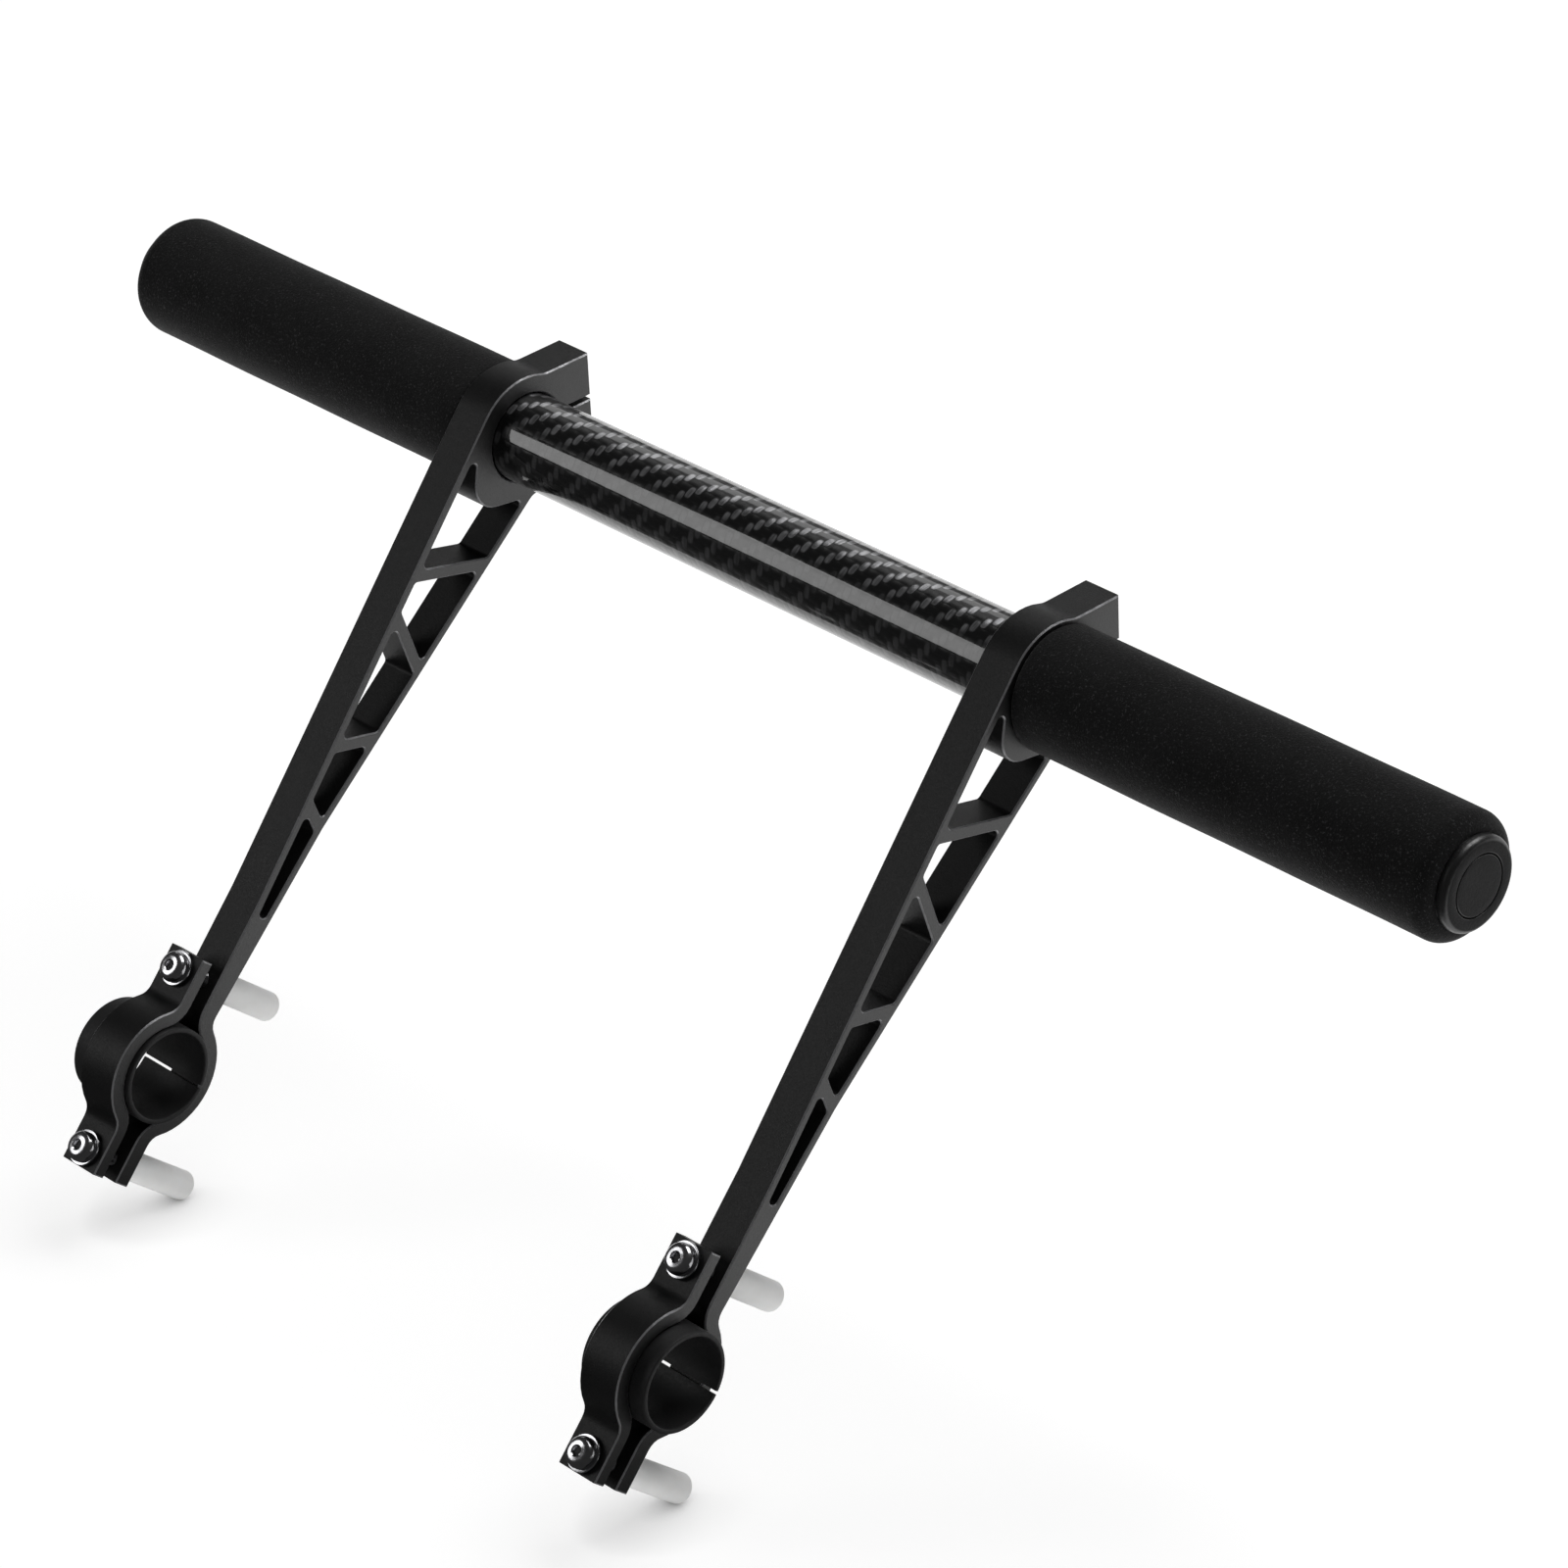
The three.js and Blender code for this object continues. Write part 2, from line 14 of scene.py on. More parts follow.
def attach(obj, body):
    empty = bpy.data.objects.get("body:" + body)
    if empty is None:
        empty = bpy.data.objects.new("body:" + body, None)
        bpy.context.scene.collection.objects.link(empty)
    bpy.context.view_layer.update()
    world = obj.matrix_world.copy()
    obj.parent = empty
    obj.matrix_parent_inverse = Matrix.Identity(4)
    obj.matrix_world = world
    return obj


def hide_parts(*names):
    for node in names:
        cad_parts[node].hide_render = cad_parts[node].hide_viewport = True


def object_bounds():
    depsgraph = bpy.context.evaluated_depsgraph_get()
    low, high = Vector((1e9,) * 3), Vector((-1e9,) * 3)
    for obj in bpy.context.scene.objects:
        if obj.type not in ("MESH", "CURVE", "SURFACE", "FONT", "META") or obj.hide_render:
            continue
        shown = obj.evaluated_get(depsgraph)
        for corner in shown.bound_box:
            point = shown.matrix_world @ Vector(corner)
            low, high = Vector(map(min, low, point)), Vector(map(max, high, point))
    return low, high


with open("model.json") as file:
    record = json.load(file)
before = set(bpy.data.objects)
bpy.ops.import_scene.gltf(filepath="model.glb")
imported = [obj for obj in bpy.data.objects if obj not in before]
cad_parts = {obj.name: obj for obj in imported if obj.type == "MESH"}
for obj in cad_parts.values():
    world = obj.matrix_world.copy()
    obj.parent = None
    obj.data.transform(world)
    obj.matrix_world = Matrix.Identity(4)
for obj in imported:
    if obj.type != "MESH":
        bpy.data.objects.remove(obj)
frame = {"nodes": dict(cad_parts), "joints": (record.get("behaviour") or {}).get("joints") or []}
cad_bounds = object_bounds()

MM = 0.001
X_AXIS = Vector((1, 0, 0))
Z_AXIS = Vector((0, 0, 1))
SIDES = {"left": -1, "right": 1}
PLACES = ("upper", "lower")
nodes = frame["nodes"]
joints = {joint["name"]: joint for joint in frame["joints"]}


# ---- measuring the frame ---------------------------------------------------------------------

def span(node, origin, axis):
    """Where a CAD node starts and ends along an axis, and its largest radius about it."""
    along = []
    radius = 0.0
    for vertex in nodes[node].data.vertices:
        offset = vertex.co - origin
        distance = offset.dot(axis)
        along.append(distance)
        radius = max(radius, (offset - distance * axis).length)
    return min(along), max(along), radius


def joint_axis(name):
    """A joint's point and direction."""
    joint = joints[name]
    return Vector(joint["pos_m"]), Vector(joint["axis"]).normalized()


# ---- mesh building ---------------------------------------------------------------------------

def arc(centre, radius, start, end, steps):
    """Points of an arc in a profile's plane; angles in degrees from the radial direction."""
    points = []
    for i in range(steps + 1):
        angle = math.radians(start + (end - start) * i / steps)
        points.append((centre[0] + radius * math.cos(angle), centre[1] + radius * math.sin(angle)))
    return points


def axis_matrix(origin, axis):
    """Takes the Z axis to the given axis; X stays square to it in a repeatable way."""
    z = axis.normalized()
    x = X_AXIS if abs(z.x) < 0.9 else Z_AXIS
    y = z.cross(x).normalized()
    x = y.cross(z)
    turn = Matrix((x, y, z)).transposed().to_4x4()
    return Matrix.Translation(origin) @ turn


def new_object(name, bm, place, smooth_angle=35):
    """A linked object whose mesh is put in place; edges sharper than the angle stay crisp."""
    mesh = bpy.data.meshes.new(name)
    bmesh.ops.recalc_face_normals(bm, faces=bm.faces)
    bm.transform(place)
    bm.to_mesh(mesh)
    bm.free()
    mesh.shade_smooth()
    mesh.set_sharp_from_angle(angle=math.radians(smooth_angle))
    piece = bpy.data.objects.new(name, mesh)
    bpy.context.scene.collection.objects.link(piece)
    return piece


def sweep(bm, rings, closed):
    """Joins rings of vertices into faces, with UVs of one unit per vertex step."""
    count = len(rings)
    uv = bm.loops.layers.uv.verify()
    for i in range(count if closed else count - 1):
        lower = rings[i]
        upper = rings[(i + 1) % count]
        around = max(len(lower), len(upper))
        for k in range(around):
            corners = [(lower, k, i), (lower, k + 1, i), (upper, k + 1, i + 1), (upper, k, i + 1)]
            used = []
            for ring, step, level in corners:
                vertex = ring[step % len(ring)]
                if vertex not in [entry[0] for entry in used]:
                    used.append((vertex, step, level))
            if len(used) < 3:
                continue
            face = bm.faces.new([entry[0] for entry in used])
            for loop, entry in zip(face.loops, used):
                loop[uv].uv = (entry[1] / around, entry[2] / count)


def lathe_mesh(profile, segments, closed=False, shape=None):
    """A profile of (radius, height) turned about Z; shape(radius, height, angle) may bend it."""
    bm = bmesh.new()
    rings = []
    for radius, height in profile:
        if radius == 0:
            rings.append([bm.verts.new((0, 0, height))])
            continue
        ring = []
        for k in range(segments):
            angle = 2 * math.pi * k / segments
            r = shape(radius, height, angle) if shape else radius
            ring.append(bm.verts.new((r * math.cos(angle), r * math.sin(angle), height)))
        rings.append(ring)
    sweep(bm, rings, closed)
    return bm


def settle(piece, body, material, replaced):
    """Gives a piece its material and body, and hides the CAD node it stands for."""
    piece.data.materials.append(material)
    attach(piece, body)
    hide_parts(replaced)


# ---- materials -------------------------------------------------------------------------------

class Shader:
    """A small helper that adds nodes to one material and joins them."""

    def __init__(self, name, **sockets):
        self.material = bpy.data.materials.new(name)
        self.material.use_nodes = True
        self.tree = self.material.node_tree
        self.surface = self.tree.nodes["Principled BSDF"]
        for socket, value in sockets.items():
            self.surface.inputs[socket.replace("_", " ")].default_value = value

    def add(self, kind, **settings):
        node = self.tree.nodes.new(kind)
        for key, value in settings.items():
            setattr(node, key, value)
        return node

    def feed(self, target, source):
        """Links a socket to another node's output, or gives it a plain value."""
        if hasattr(source, "is_output"):
            self.tree.links.new(source, target)
        else:
            target.default_value = source

    def math(self, operation, a, b=0.0):
        node = self.add("ShaderNodeMath", operation=operation)
        for socket, value in zip(node.inputs, (a, b)):
            self.feed(socket, value)
        return node.outputs[0]

    def coordinate(self, which="Object"):
        return self.add("ShaderNodeTexCoord").outputs[which]

    def parts(self, which):
        """The X, Y and Z of a texture coordinate."""
        node = self.add("ShaderNodeSeparateXYZ")
        self.feed(node.inputs[0], self.coordinate(which))
        return node.outputs

    def noise(self, scale, detail=3.0, roughness=0.55, stretch=None):
        node = self.add("ShaderNodeTexNoise")
        node.inputs["Scale"].default_value = scale
        node.inputs["Detail"].default_value = detail
        node.inputs["Roughness"].default_value = roughness
        vector = self.coordinate()
        if stretch:
            mapping = self.add("ShaderNodeMapping")
            mapping.inputs["Scale"].default_value = stretch
            self.feed(mapping.inputs["Vector"], vector)
            vector = mapping.outputs[0]
        self.feed(node.inputs["Vector"], vector)
        return node.outputs["Fac"]

    def ramp(self, value, low, high, bottom=0.0, top=1.0):
        """Runs from bottom to top while the value goes from low to high."""
        node = self.add("ShaderNodeMapRange", clamp=True)
        for socket, number in zip(node.inputs, (value, low, high, bottom, top)):
            self.feed(socket, number)
        return node.outputs[0]

    def mix(self, factor, first, second):
        """Blends from one colour to another."""
        node = self.add("ShaderNodeMix", data_type="RGBA")
        factor_socket, first_socket, second_socket = (node.inputs[i] for i in (0, 6, 7))
        self.feed(factor_socket, factor)
        self.feed(first_socket, first)
        self.feed(second_socket, second)
        return node.outputs[2]

    def bump(self, height, distance, strength=1.0, onto=None):
        node = self.add("ShaderNodeBump")
        node.inputs["Strength"].default_value = strength
        node.inputs["Distance"].default_value = distance
        self.feed(node.inputs["Height"], height)
        if onto:
            self.feed(node.inputs["Normal"], onto)
        return node.outputs[0]

    def set(self, **sources):
        for socket, source in sources.items():
            self.feed(self.surface.inputs[socket.replace("_", " ")], source)


def grey(value):
    """A grey with a touch of blue, as a colour with its alpha."""
    return (value, value, value * 1.03, 1)


TOWS_AROUND = 36        # carbon bundles around the tube
TWILL = 4               # bundles in one repeat: over two, under two
BUNDLE_ROUNDNESS = 3.4  # how fast a bundle's height falls off across its width


def carbon_material(tube_length, tube_radius):
    """Two-by-two twill under a thick clear coat; the hoop bundles glint, the long ones stay dark."""
    s = Shader("carbon_twill", Coat_Weight=1.0, Coat_Roughness=0.025, Coat_IOR=1.5, Anisotropic=0.85,
               Anisotropic_Rotation=0.25)
    turn, reach, _ = s.parts("UV")
    tow = 2 * math.pi * tube_radius / TOWS_AROUND
    around = s.math("MULTIPLY", turn, TOWS_AROUND)
    along = s.math("MULTIPLY", reach, tube_length / tow)
    column = s.math("FLOOR", around)
    row = s.math("FLOOR", along)
    long_phase = s.math("FLOORED_MODULO", s.math("ADD", along, column), TWILL)
    hoop_phase = s.math("FLOORED_MODULO", s.math("ADD", around, row), TWILL)
    hoop_on_top = s.math("GREATER_THAN", hoop_phase, TWILL / 2)

    def crown(run, across):
        """Height of a bundle: it rises over its float and is rounded across its width."""
        lift = s.math("ABSOLUTE", s.math("SINE", s.math("MULTIPLY", run, 2 * math.pi / TWILL)))
        side = s.math("SUBTRACT", s.math("FRACT", across), 0.5)
        fall = s.math("MULTIPLY", s.math("MULTIPLY", side, side), BUNDLE_ROUNDNESS)
        return s.math("MULTIPLY", lift, s.math("SUBTRACT", 1.0, fall))

    hoop = crown(hoop_phase, along)
    long_on_top = s.math("SUBTRACT", 1.0, hoop_on_top)
    height = s.math("MAXIMUM", s.math("MULTIPLY", hoop, hoop_on_top),
                    s.math("MULTIPLY", crown(long_phase, around), long_on_top))
    fibres = s.noise(1100.0, 2.0, stretch=(1.0, 0.10, 0.10))
    shine = s.math("MULTIPLY", hoop_on_top, s.ramp(hoop, 0.18, 0.55))
    # Painted highlight: the weave shows on the upward side and sinks into the gloss down the tube's flanks,
    # set by the upward part of the normal rather than by the lamps.
    painted_top_glint = s.ramp(s.parts("Normal")[2], 0.72, 0.90, 0.08, 1.0)
    shine = s.math("MULTIPLY", shine, painted_top_glint)
    broken = s.math("MULTIPLY", shine, s.ramp(fibres, 0.3, 0.62, 0.45, 1.0))
    s.set(Base_Color=s.mix(broken, grey(0.003), grey(0.42)))
    s.set(Metallic=s.ramp(shine, 0.0, 1.0, 0.1, 0.95))
    s.set(Roughness=s.ramp(fibres, 0.3, 0.7, 0.30, 0.42))
    s.set(Normal=s.bump(height, 0.10 * MM, 0.6))
    tangent = s.add("ShaderNodeTangent", direction_type="RADIAL", axis="X")
    s.set(Tangent=tangent.outputs[0])
    return s.material


def foam_material():
    """Closed-cell foam: small cells, a soft sheen and pale flecks."""
    s = Shader("foam", Sheen_Weight=0.12, Sheen_Roughness=0.4, Specular_IOR_Level=0.22)
    cells = s.add("ShaderNodeTexVoronoi", feature="F1")
    cells.inputs["Scale"].default_value = 2600.0
    s.feed(cells.inputs["Vector"], s.coordinate())
    grain = s.noise(1500.0, 4.0, 0.65)
    blotch = s.noise(90.0, 3.0)
    flecks = s.ramp(s.noise(1900.0, 2.0, 0.7), 0.58, 0.72)
    skin = s.mix(s.ramp(blotch, 0.35, 0.65), grey(0.0035), grey(0.0055))
    s.set(Base_Color=s.mix(flecks, skin, grey(0.045)))
    s.set(Roughness=s.ramp(grain, 0.3, 0.7, 0.78, 0.98))
    fine = s.bump(cells.outputs["Distance"], 0.10 * MM, 0.55)
    s.set(Normal=s.bump(grain, 0.16 * MM, 0.6, fine))
    return s.material


def anodised_material():
    """Black anodised, bead-blasted aluminium whose milled edges are a little brighter, partly worn and
    partly a painted highlight.
    """
    s = Shader("black_anodised")
    blast = s.noise(2400.0, 4.0, 0.7)
    cloud = s.noise(45.0, 3.0)
    sideways = s.math("ABSOLUTE", s.parts("Normal")[0])
    s.set(Specular_IOR_Level=s.ramp(sideways, 0.80, 0.95, 0.34, 0.90))   # the rims are duller
    # A broken edge's normal lies between the side face's and the rim's.
    rising = s.ramp(sideways, 0.30, 0.55)
    falling = s.ramp(sideways, 0.85, 0.97, 1.0, 0.0)
    edge = s.math("MULTIPLY", rising, falling)
    # Partly wear and partly painted highlight: lighter metal on every chamfer stands in for the edges'
    # highlights.
    edge_wear_and_painted_highlight = s.math("MULTIPLY", edge, s.ramp(s.noise(260.0, 4.0, 0.7), 0.25, 0.6, 0.35, 1.0))
    body = s.mix(s.ramp(cloud, 0.3, 0.7), grey(0.0035), grey(0.0055))
    s.set(Base_Color=s.mix(edge_wear_and_painted_highlight, body, grey(0.38)))
    s.set(Metallic=s.math("MULTIPLY", edge_wear_and_painted_highlight, 0.8))
    rough = s.ramp(blast, 0.3, 0.7, 0.38, 0.54)
    s.set(Roughness=s.math("SUBTRACT", rough, s.math("MULTIPLY", edge_wear_and_painted_highlight, 0.14)))
    s.set(Normal=s.bump(blast, 0.09 * MM, 0.8))
    return s.material


def chrome_material():
    """Bright plated steel with faint wiping marks."""
    s = Shader("polished_steel", Metallic=1.0)
    brushed = s.noise(700.0, 4.0, 0.6)
    spots = s.noise(160.0, 3.0)
    s.set(Base_Color=s.mix(s.ramp(spots, 0.3, 0.7), grey(0.36), grey(0.56)))
    s.set(Roughness=s.ramp(brushed, 0.3, 0.7, 0.12, 0.26))
    s.set(Normal=s.bump(brushed, 0.02 * MM, 0.35))
    return s.material


def nylon_material():
    """White nylon that lets a little light in."""
    s = Shader("white_nylon", Subsurface_Weight=0.35, Subsurface_Radius=(1.0, 0.95, 0.9), IOR=1.53)
    s.surface.inputs["Subsurface Scale"].default_value = 1.6 * MM
    cloud = s.noise(210.0, 3.0)
    s.set(Base_Color=s.mix(s.ramp(cloud, 0.3, 0.7), (0.88, 0.88, 0.87, 1), (0.94, 0.94, 0.93, 1)))
    s.set(Roughness=s.ramp(s.noise(800.0, 3.0), 0.3, 0.7, 0.34, 0.48))
    s.set(Normal=s.bump(s.noise(500.0, 4.0), 0.05 * MM, 0.4))
    return s.material


def rubber_material():
    """Dark, dull rubber."""
    s = Shader("shim_rubber", Specular_IOR_Level=0.4)
    cloud = s.noise(120.0, 3.0)
    grain = s.noise(1700.0, 4.0, 0.65)
    s.set(Base_Color=s.mix(s.ramp(cloud, 0.3, 0.7), grey(0.008), grey(0.014)))
    s.set(Roughness=s.ramp(grain, 0.3, 0.7, 0.48, 0.68))
    s.set(Normal=s.bump(grain, 0.05 * MM, 0.5))
    return s.material


def plug_material():
    """Grained black plastic."""
    s = Shader("moulded_plug")
    facing = s.math("ABSOLUTE", s.parts("Normal")[0])
    s.set(Specular_IOR_Level=s.ramp(facing, 0.86, 0.98, 0.8, 0.08))     # the flat faces are duller
    grain = s.noise(1300.0, 5.0, 0.7)
    cloud = s.noise(150.0, 3.0)
    s.set(Base_Color=s.mix(s.ramp(cloud, 0.3, 0.7), grey(0.005), grey(0.009)))
    s.set(Roughness=s.ramp(grain, 0.3, 0.7, 0.26, 0.44))
    s.set(Normal=s.bump(grain, 0.11 * MM, 0.6))
    return s.material


# ---- the bar: tube, grips, plugs -------------------------------------------------------------

BAR_ORIGIN, _ = joint_axis("bar_turn")
foam = foam_material()
anodised = anodised_material()
chrome = chrome_material()
nylon = nylon_material()
rubber = rubber_material()
moulded = plug_material()


def build_tube():
    """An open tube with chamfered ends, its UVs running evenly along it for the weave."""
    start, end, radius = span("carbon_tube", BAR_ORIGIN, X_AXIS)
    wall = 1.6 * MM
    edge = 0.3 * MM
    profile = [(radius - wall, start), (radius - edge, start), (radius, start + edge)]
    profile += [(radius, end - edge), (radius - edge, end), (radius - wall, end)]
    bm = lathe_mesh(profile, 192, closed=True)
    uv = bm.loops.layers.uv.verify()
    for face in bm.faces:
        for loop in face.loops:
            loop[uv].uv.y = (loop.vert.co.z - start) / (end - start)
    tube = new_object("carbon_tube_twill", bm, axis_matrix(BAR_ORIGIN, X_AXIS))
    settle(tube, "bar", carbon_material(end - start, radius), "carbon_tube")


SEAT_GAP = 0.05 * MM        # what neighbouring pieces of the bar leave between them


def build_grip(side, outward):
    """A foam sleeve: softly rounded at its outer end, pressed square against the arm."""
    node = side + "_grip"
    axis = X_AXIS * outward
    start, end, radius = span(node, BAR_ORIGIN, axis)
    tube_radius = span("carbon_tube", BAR_ORIGIN, X_AXIS)[2]
    shoulder = 3.9 * MM
    heel = 0.9 * MM
    bore = tube_radius + SEAT_GAP
    profile = [(bore, start)]
    profile += arc((radius - heel, start + heel), heel, -90, 0, 6)
    rings = 60
    straight = end - start - heel - shoulder
    for i in range(1, rings):
        profile.append((radius, start + heel + straight * i / rings))
    profile += arc((radius - shoulder, end - shoulder), shoulder, 0, 84, 12)
    profile.append((bore, end))

    def swell(r, height, angle):
        """Foam is never quite true: a slow waver of a few hundredths of a millimetre."""
        waver = math.sin(3 * angle + 55 * height) + math.sin(5 * angle - 140 * height + 1.3)
        return r + (0.035 * MM * waver if r > bore * 1.05 else 0)

    grip = new_object(node + "_foam", lathe_mesh(profile, 128, closed=True, shape=swell),
                      axis_matrix(BAR_ORIGIN, axis), 60)
    settle(grip, "bar", foam, node)


def build_plug(side, outward):
    """A collar with a rolled edge and a spigot in the tube, and the disc let into its face."""
    axis = X_AXIS * outward
    start, end, radius = span(side + "_end_plug", BAR_ORIGIN, axis)
    disc_radius = span(side + "_plug_disc", BAR_ORIGIN, axis)[2]
    seat = span(side + "_grip", BAR_ORIGIN, axis)[1]
    spigot = 9.2 * MM
    chamfer = 0.5 * MM      # at the spigot's tip, and the round at the collar's back
    roll = 1.5 * MM
    lip = 0.25 * MM
    groove = disc_radius + 0.30 * MM
    pocket = end - 1.2 * MM
    back = seat + SEAT_GAP
    profile = [(0, start), (spigot - chamfer, start), (spigot, start + chamfer), (spigot, back)]
    profile += arc((radius - chamfer, back + chamfer), chamfer, -90, 0, 5)
    profile += arc((radius - roll, end - roll), roll, 0, 82, 10)
    profile += arc((groove + lip, end - lip - 0.04 * MM), lip, 90, 180, 5)
    profile += [(groove, pocket), (0, pocket)]
    place = axis_matrix(BAR_ORIGIN, axis)
    collar = new_object(side + "_plug_collar", lathe_mesh(profile, 128), place, 50)
    settle(collar, "bar", moulded, side + "_end_plug")

    face = end - SEAT_GAP
    floor = pocket + SEAT_GAP
    rim = 0.3 * MM
    profile = [(0, floor), (disc_radius, floor), (disc_radius, face - rim)]
    profile += arc((disc_radius - rim, face - rim), rim, 0, 90, 6)[1:]
    profile += [(disc_radius * share, face) for share in (0.75, 0.4, 0)]
    disc = new_object(side + "_plug_face", lathe_mesh(profile, 128), place, 50)
    settle(disc, "bar", moulded, side + "_plug_disc")


# ---- arms and clamp caps ---------------------------------------------------------------------

def dress_milled(name):
    """Leaves a CAD shape as it is, smooths its arcs and breaks its edges."""
    piece = nodes[name]
    piece.data.materials.clear()
    piece.data.materials.append(anodised)
    weld = piece.modifiers.new("weld", "WELD")
    weld.merge_threshold = 0.002 * MM
    edges = piece.modifiers.new("broken_edges", "BEVEL")
    edges.width = 0.20 * MM
    edges.segments = 2
    edges.limit_method = "ANGLE"
    edges.angle_limit = math.radians(32)
    edges.harden_normals = False
    piece.data.shade_smooth()
    normals = piece.modifiers.new("flat_faces", "WEIGHTED_NORMAL")
    normals.keep_sharp = True


# ---- shims, bolts, washers and thread caps ---------------------------------------------------

SHIM_WALL = 1.3 * MM
SHIM_SLIT = 0.8 * MM
CLAMP_TILT = math.radians(2.8)      # from the line a cap slides along to the arm's back
HEAD_GAP = 0.3 * MM                 # what the CAD leaves under a bolt head
WASHER_GAP = 0.28 * MM              # and under a washer
SHANK_HOLE = 2.2 * MM               # radius of the holes the M4 shanks pass through


def build_shim(side):
    """A split rubber sleeve with softened edges."""
    node = side + "_shim"
    start, end, radius = span(node, Vector((0, 0, 0)), X_AXIS)
    wall = SHIM_WALL
    soft = 0.35 * MM
    slit = SHIM_SLIT / 2 / radius
    middle = radius - wall / 2
    profile = arc((radius - soft, start + soft), soft, -90, 0, 4)
    profile += arc((radius - soft, end - soft), soft, 0, 90, 4)
    inner = radius - wall
    profile += arc((inner + soft, end - soft), soft, 90, 180, 4)
    profile += arc((inner + soft, start + soft), soft, 180, 270, 4)
    bm = bmesh.new()
    rings = []
    turns = 120
    for k in range(turns + 1):
        angle = slit + (2 * math.pi - 2 * slit) * k / turns
        ring = []
        for r, height in profile:
            # the two cut faces are drawn in a little towards the wall's middle
            pinch = 1.0 if 0 < k < turns else (1 - 0.25 * abs(r - middle) / wall)
            r = middle + (r - middle) * pinch
            ring.append(bm.verts.new((height, r * math.cos(angle), r * math.sin(angle))))
        rings.append(ring)
    for lower, upper in zip(rings, rings[1:]):
        for k in range(len(profile)):
            following = (k + 1) % len(profile)
            bm.faces.new((lower[k], lower[following], upper[following], upper[k]))
    bm.faces.new(rings[0])
    bm.faces.new(reversed(rings[-1]))
    back = -Vector(joints[side + "_cap_slide"]["axis"])
    lean = math.atan2(back.z, back.y) + CLAMP_TILT
    shim = new_object(node + "_sleeve", bm, Matrix.Rotation(lean, 4, "X"), 50)
    body = "handlebar_seat" if side == "left" else "right_shim_seat"
    settle(shim, body, rubber, node)


def button_bolt(name, node, origin, axis, body):
    """A button-head screw: domed head, hex socket with a broken rim, and a cut helical thread."""
    start, end, brim = span(node, origin, axis)
    head = 2.2 * MM
    upright = 0.40 * MM         # the head's straight side, below its dome
    crown = 2.05 * MM           # radius of the nearly flat top
    crown_drop = 0.06 * MM
    flats = 2.5 * MM
    socket = 1.45 * MM
    socket_chamfer = 0.22 * MM
    shank = 2.0 * MM
    pitch = 0.7 * MM
    cut = 0.36 * MM
    per_turn = 8
    segments = 96
    dome = head - upright - crown_drop
    under = start + head + HEAD_GAP       # down on its washer
    bm = bmesh.new()

    def ring(radius_at, height):
        made = []
        for k in range(segments):
            angle = 2 * math.pi * k / segments
            r = radius_at(angle)
            made.append(bm.verts.new((r * math.cos(angle), r * math.sin(angle), height)))
        return made

    def circle(radius, height):
        return ring(lambda angle: radius, height)

    def point(height):
        return [bm.verts.new((0, 0, height))]

    def hexagon(across):
        """The radius of a hexagon at an angle."""
        wedge = math.radians(60)

        def radius_at(angle):
            offset = (angle + wedge / 2) % wedge - wedge / 2
            return across / 2 / math.cos(offset)
        return radius_at

    def socket_mouth(angle):
        """The hexagon's corners stand out past a round chamfer."""
        return max(hexagon(flats)(angle), flats / 2 * 1.17)

    def thread(height):
        """The radius of a screw thread's section at a height."""
        def radius_at(angle):
            phase = (height / pitch - angle / (2 * math.pi)) % 1.0
            return shank - cut * max(0.0, abs(2 * phase - 1) * 1.25 - 0.25)
        return radius_at

    rings = [point(start + socket + 0.5 * MM)]
    rings.append(ring(hexagon(flats * 0.98), start + socket))
    rings.append(ring(hexagon(flats), start + socket_chamfer))
    rings.append(ring(socket_mouth, start))
    rings.append(circle(crown * 0.86, start + crown_drop * 0.5))
    for step in range(9):
        slope = math.radians(90 - 10 * step)
        radius = crown + (brim - crown) * math.cos(slope)
        rings.append(circle(radius, start + crown_drop + dome * (1 - math.sin(slope))))
    rings.append(circle(brim, start + head - upright + 0.06 * MM))
    rings.append(circle(brim, start + head - 0.12 * MM))
    rings.append(circle(brim - 0.12 * MM, under))
    rings.append(circle(shank + 0.15 * MM, under))
    height = under + 0.15 * MM
    while height < end - 0.4 * MM:
        rings.append(ring(thread(height), height))
        height += pitch / per_turn
    rings.append(circle(shank - 0.5 * MM, end))
    rings.append(point(end))
    sweep(bm, rings, closed=False)
    bolt = new_object(name, bm, axis_matrix(origin, axis), 28)
    settle(bolt, body, chrome, node)


def build_washer(name, node, origin, axis, body):
    """A flat washer with rounded edges, down on its ear."""
    low, end, radius = span(node, origin, axis)
    high = end + WASHER_GAP
    bore = SHANK_HOLE
    edge = 0.2 * MM
    profile = arc((radius - edge, low + edge), edge, -90, 0, 4)
    profile += arc((radius - edge, high - edge), edge, 0, 90, 4)
    profile += arc((bore + edge, high - edge), edge, 90, 180, 4)
    profile += arc((bore + edge, low + edge), edge, 180, 270, 4)
    washer = new_object(name, lathe_mesh(profile, 96, closed=True), axis_matrix(origin, axis), 50)
    settle(washer, body, chrome, node)


def build_thread_cap(name, node, origin, axis, body):
    """A nylon cap with a rounded tip, open at the arm where the bolt runs in."""
    start, end, radius = span(node, origin, axis)
    tip = 1.2 * MM
    bore = SHANK_HOLE
    lip = 0.25 * MM
    floor = end - 3 * MM        # the blind hole's bottom
    profile = [(0, floor), (bore - lip, floor), (bore, floor - lip), (bore, start + lip)]
    profile += arc((bore + lip, start + lip), lip, 180, 270, 4)
    profile += arc((radius - lip, start + lip), lip, -90, 0, 4)
    profile += arc((radius - tip, end - tip), tip, 0, 78, 10)
    profile += [((radius - tip) * share, end) for share in (0.9, 0.45, 0)]
    cap = new_object(name, lathe_mesh(profile, 96), axis_matrix(origin, axis), 50)
    settle(cap, body, nylon, node)


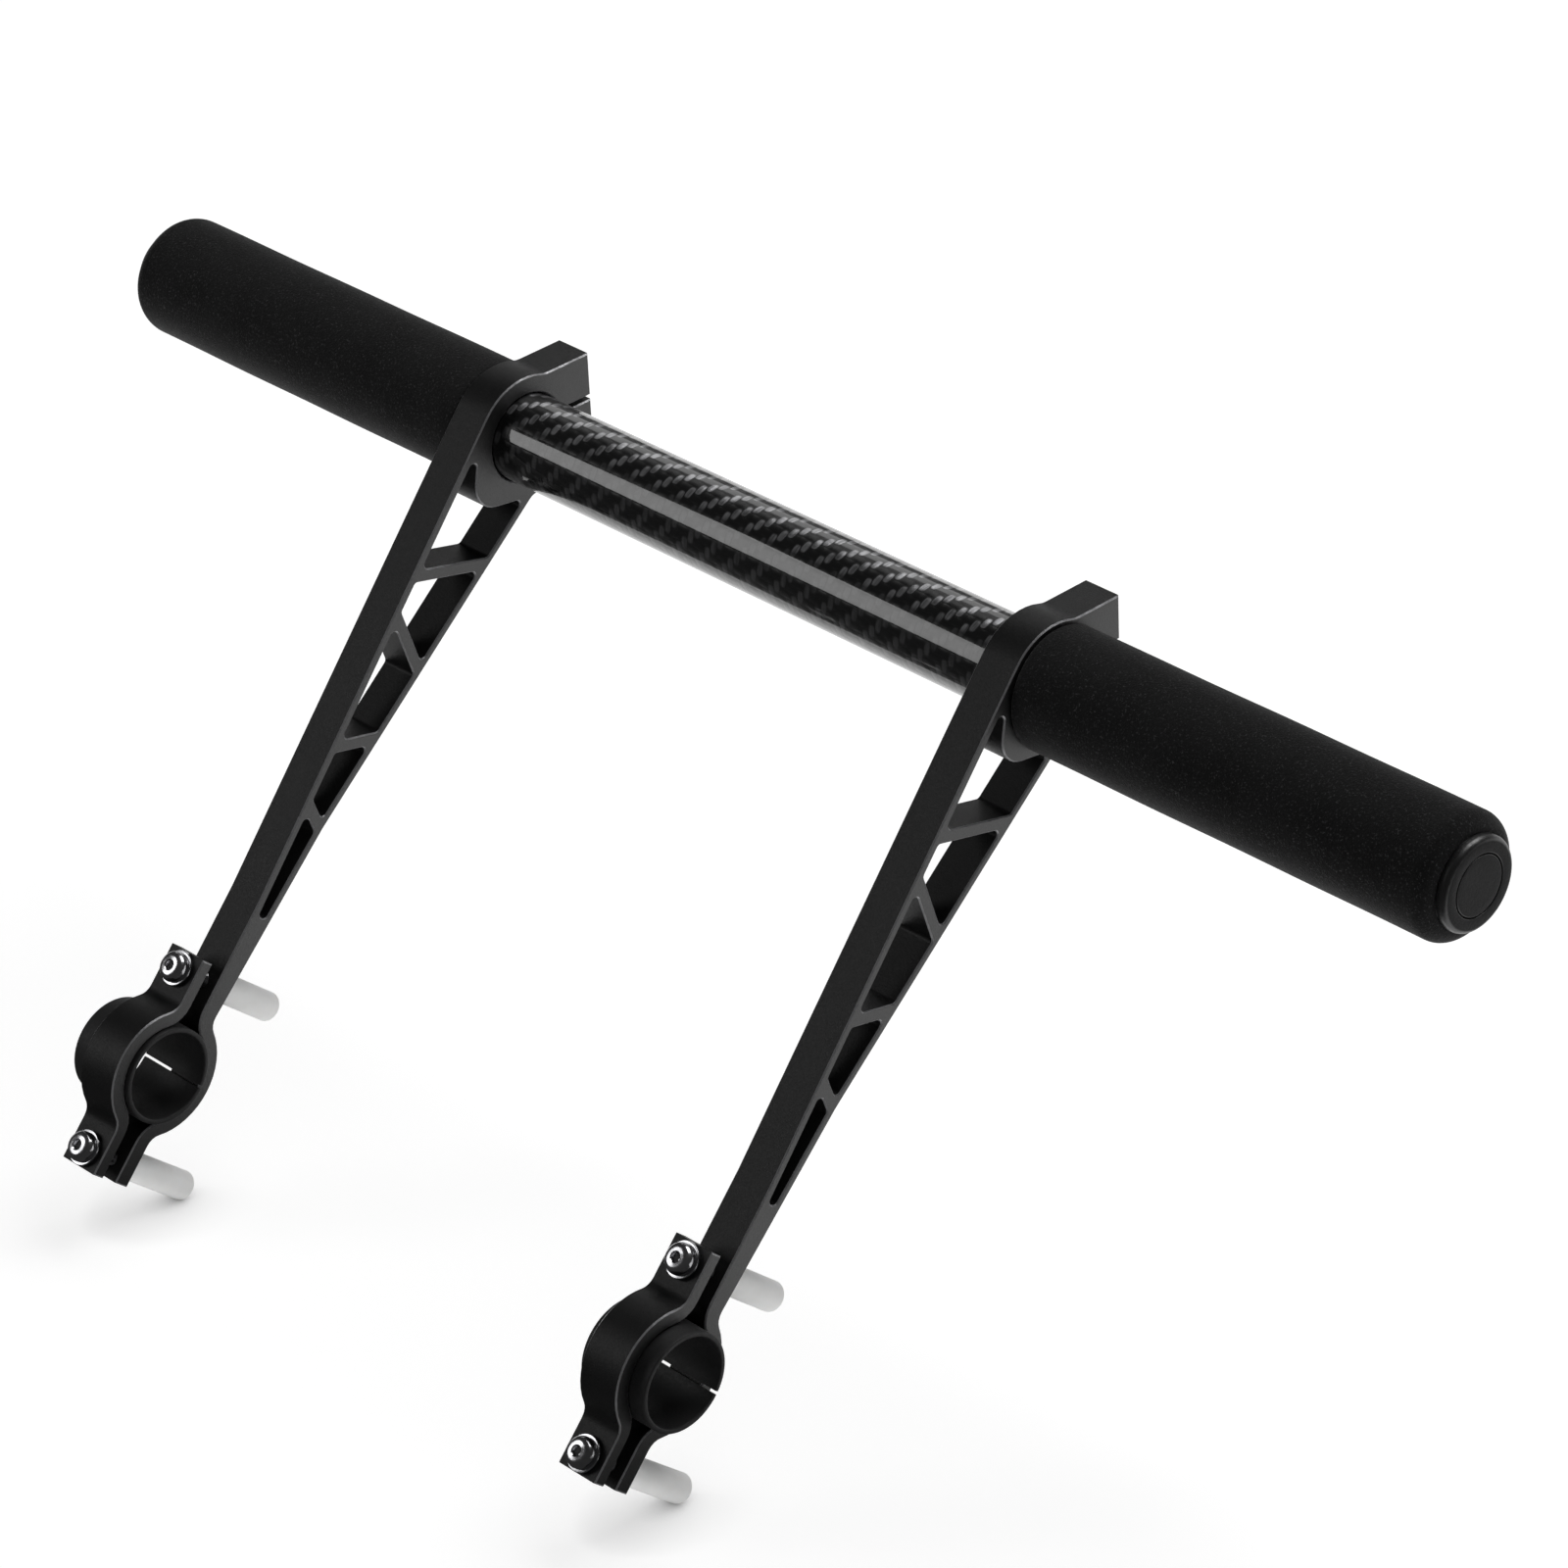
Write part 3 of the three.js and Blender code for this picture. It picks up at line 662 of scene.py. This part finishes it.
build_tube()
for side, outward in SIDES.items():
    build_grip(side, outward)
    build_plug(side, outward)
    dress_milled(side + "_arm")
    dress_milled(side + "_clamp_cap")
    build_shim(side)
    for place in PLACES:
        stem = f"{side}_{place}"
        origin, outwards = joint_axis(stem + "_bolt_turn")
        inwards = -outwards
        button_bolt(stem + "_cap_screw", stem + "_bolt", origin, inwards, stem + "_screw")
        build_washer(stem + "_flat_washer", stem + "_washer", origin, inwards, side + "_cap")
        build_thread_cap(stem + "_nylon_cap", stem + "_thread_cap", origin, inwards, stem + "_cover")
    stem = side + "_pinch"
    origin, upwards = joint_axis(stem + "_turn")
    button_bolt(stem + "_cap_screw", stem + "_bolt", origin, upwards, stem + "_screw")


# ---- camera, floor and light -----------------------------------------------------------------

def aim(thing, location, forward):
    """Puts a camera or light in place, looking along a direction with its top up."""
    thing.location = location
    thing.rotation_euler = Vector(forward).to_track_quat("-Z", "Y").to_euler()


camera_data = bpy.data.cameras.new("camera")
camera_data.lens = 150.04
camera_data.sensor_width = 36.0
camera_data.clip_end = 50.0
camera = bpy.data.objects.new("camera", camera_data)
aim(camera, (0.97663, -0.81574, 0.81560), (-0.62980, 0.60690, -0.48479))
bpy.context.scene.collection.objects.link(camera)
bpy.context.scene.camera = camera

FLOOR_HEIGHT = cad_bounds[0][2]


def plane(name, centre, across, along, material):
    """A rectangle reaching out from its centre by both half sides."""
    bm = bmesh.new()
    corners = [centre + across * a + along * b for a, b in ((-1, -1), (1, -1), (1, 1), (-1, 1))]
    bm.faces.new([bm.verts.new(corner) for corner in corners])
    mesh = bpy.data.meshes.new(name)
    bm.to_mesh(mesh)
    bm.free()
    mesh.materials.append(material)
    card = bpy.data.objects.new(name, mesh)
    bpy.context.scene.collection.objects.link(card)
    return card


def glowing(name, strength, colour):
    """A matt grey that also gives off its own white light."""
    material = bpy.data.materials.new(name)
    material.use_nodes = True
    surface = material.node_tree.nodes["Principled BSDF"]
    surface.inputs["Base Color"].default_value = (colour, colour, colour, 1)
    surface.inputs["Roughness"].default_value = 1.0
    surface.inputs["Specular IOR Level"].default_value = 0.0
    surface.inputs["Emission Color"].default_value = (1, 1, 1, 1)
    surface.inputs["Emission Strength"].default_value = strength
    return material


def floor_material():
    """Glowing paper with a painted contact shadow: its glow darkens only right where something touches it.
    """
    paper = glowing("floor_white", 0.80, 0.42)
    tree = paper.node_tree
    painted_contact_shadow = tree.nodes.new("ShaderNodeAmbientOcclusion")
    painted_contact_shadow.inputs["Distance"].default_value = 16 * MM
    tree.links.new(painted_contact_shadow.outputs["Color"], tree.nodes["Principled BSDF"].inputs["Emission Color"])
    return paper


floor = plane("floor", FLOOR_HEIGHT * Z_AXIS, 8 * X_AXIS, Vector((0, 8, 0)), floor_material())
floor.visible_glossy = False        # the cards below take its place in reflections


def reflection_card(name, centre, across, along, strength):
    """A white board seen only in reflections."""
    card = plane(name, centre, across, along, glowing(name, strength, 0.0))
    card.visible_camera = False
    card.visible_diffuse = False
    card.visible_shadow = False
    card.visible_transmission = False


# The paper seems to begin under the bar and to run back, so the arms' fronts stay dark.
reflection_card("floor_card", Vector((0, 1.40, FLOOR_HEIGHT - 0.01)), 3 * X_AXIS, Vector((0, 1.35, 0)), 1.0)
reflection_card("back_card", Vector((0, 2.6, 0.20)), 4 * X_AXIS, 0.24 * Z_AXIS, 1.1)


def softbox(name, location, target, width, height, power):
    data = bpy.data.lights.new(name, "AREA")
    data.shape = "RECTANGLE"
    data.size = width
    data.size_y = height
    data.energy = power
    box = bpy.data.objects.new(name, data)
    aim(box, location, Vector(target) - Vector(location))
    box.visible_camera = False
    bpy.context.scene.collection.objects.link(box)


OBJECT_MIDDLE = (0, 0.06, 0.06)
softbox("strip", (-0.95, -0.94, 0.64), (0, BAR_ORIGIN.y, BAR_ORIGIN.z), 0.42, 0.80, 3.2)
softbox("overhead", (0.25, 1.0, 1.9), OBJECT_MIDDLE, 1.5, 1.3, 26)
softbox("behind", (-1.15, 1.22, 0.95), OBJECT_MIDDLE, 1.1, 0.5, 1.6)


def studio_world():
    """White behind everything, and nearly dark for the light that falls on the object."""
    world = bpy.data.worlds.new("studio")
    world.use_nodes = True
    tree = world.node_tree
    room = tree.nodes["Background"]
    room.inputs["Color"].default_value = (0.045, 0.045, 0.045, 1)
    backdrop = tree.nodes.new("ShaderNodeBackground")
    backdrop.inputs["Color"].default_value = (1, 1, 1, 1)
    path = tree.nodes.new("ShaderNodeLightPath")
    choose = tree.nodes.new("ShaderNodeMixShader")
    tree.links.new(path.outputs["Is Camera Ray"], choose.inputs[0])
    tree.links.new(room.outputs[0], choose.inputs[1])
    tree.links.new(backdrop.outputs[0], choose.inputs[2])
    tree.links.new(choose.outputs[0], tree.nodes["World Output"].inputs["Surface"])
    return world


bpy.context.scene.world = studio_world()
bpy.context.scene.view_settings.view_transform = "Standard"
